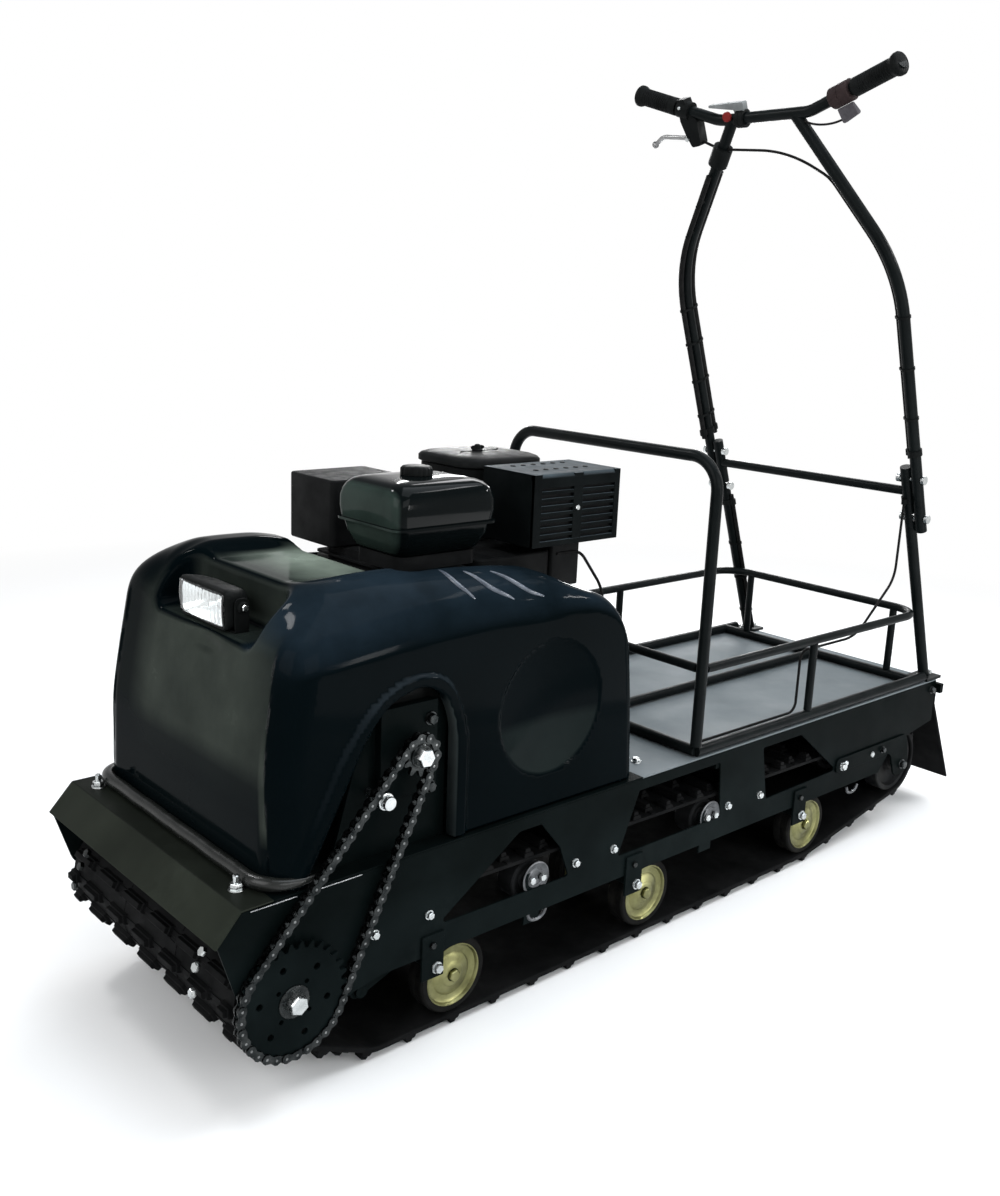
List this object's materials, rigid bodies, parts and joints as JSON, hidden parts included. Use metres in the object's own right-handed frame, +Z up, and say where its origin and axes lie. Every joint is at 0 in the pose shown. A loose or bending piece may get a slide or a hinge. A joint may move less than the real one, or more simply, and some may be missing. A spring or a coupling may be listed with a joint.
{
  "type": "tracked snow towing vehicle",
  "caption": "Compact tracked snow tractor with a hooded engine in front, a railed cargo deck behind it and a tall folding handlebar at the rear.",
  "frame": {"origin": "on the ground under the track's flat run, on the centre plane", "axes": "+X forward, +Y to the vehicle's left (the chain side), +Z up"},
  "size_m": [1.829, 0.5929, 1.481],
  "materials": {
    "frame_paint": "black powder coat, semi-gloss",
    "guard_paint": "dark grey-brown paint",
    "deck_paint": "light grey sheet",
    "zinc": "bright zinc plate",
    "gold_zinc": "yellow zinc plate",
    "chain_steel": "oiled steel",
    "engine_metal": "black-painted cast aluminium",
    "tank_paint": "gloss black paint",
    "lever_metal": "black-coated lever",
    "hood_plastic": "gloss black moulding",
    "black_plastic": "matte black",
    "roller_plastic": "dark grey moulding",
    "grip_rubber": "soft black rubber",
    "track_rubber": "black rubber belt",
    "tyre_rubber": "black rubber",
    "flap_rubber": "black sheet rubber",
    "cable_jacket": "black jacket",
    "lamp_glass": "clear lens"
  },
  "bodies": {
    "chassis": {"air_cleaner": "black_plastic", "cable_clips": "black_plastic", "cargo_rail": "frame_paint", "chain_plate": "frame_paint", "chain_sprockets": "chain_steel", "chain_tensioner": "zinc", "crossmembers": "frame_paint", "deck_frame": "frame_paint", "deck_plate": "deck_paint", "drive_axle": "zinc", "drive_bearings": "zinc", "drive_chain": "chain_steel", "engine_bed": "deck_paint", "engine_block": "engine_metal", "engine_cable": "cable_jacket", "front_guard": "guard_paint", "fuel_cap": "black_plastic", "fuel_tank": "tank_paint", "handlebar_legs": "frame_paint", "headlight": "black_plastic", "headlight_lens": "lamp_glass", "hood": "hood_plastic", "idler_axle": "zinc", "idler_wheels": "roller_plastic", "jackshaft": "zinc", "leg_cable": "cable_jacket", "leg_loom": "cable_jacket", "mud_flap": "flap_rubber", "muffler_guard": "frame_paint", "pivot_bolts": "zinc", "plain_rollers": "roller_plastic", "recoil_housing": "black_plastic", "return_axles": "frame_paint", "road_wheels": "gold_zinc", "shaft_brackets": "frame_paint", "side_plate_left": "frame_paint", "side_plate_right": "frame_paint", "tall_hoop": "frame_paint", "tow_hitch": "frame_paint", "track": "track_rubber", "track_sprockets": "roller_plastic", "track_tensioners": "frame_paint", "trailing_arms": "frame_paint", "wheel_tyres": "tyre_rubber"},
    "upper_handlebar": {"handlebar": "frame_paint", "lock_bolts": "zinc", "handlebar_grips": "grip_rubber", "brake_perch": "black_plastic", "brake_lever": "lever_metal", "throttle_housing": "black_plastic", "throttle_lever": "black_plastic", "stop_switch": "black_plastic", "brake_cable": "cable_jacket", "upper_loom": "cable_jacket", "bar_clips": "black_plastic", "cable_splitter": "black_plastic"}
  },
  "joints": [
    {"name": "handlebar_fold", "type": "hinge", "parent": "chassis", "child": "upper_handlebar", "pos_m": [-0.57621, 0, 0.74772], "axis": [0, 1, 0], "range_deg": [0, 58]}
  ]
}
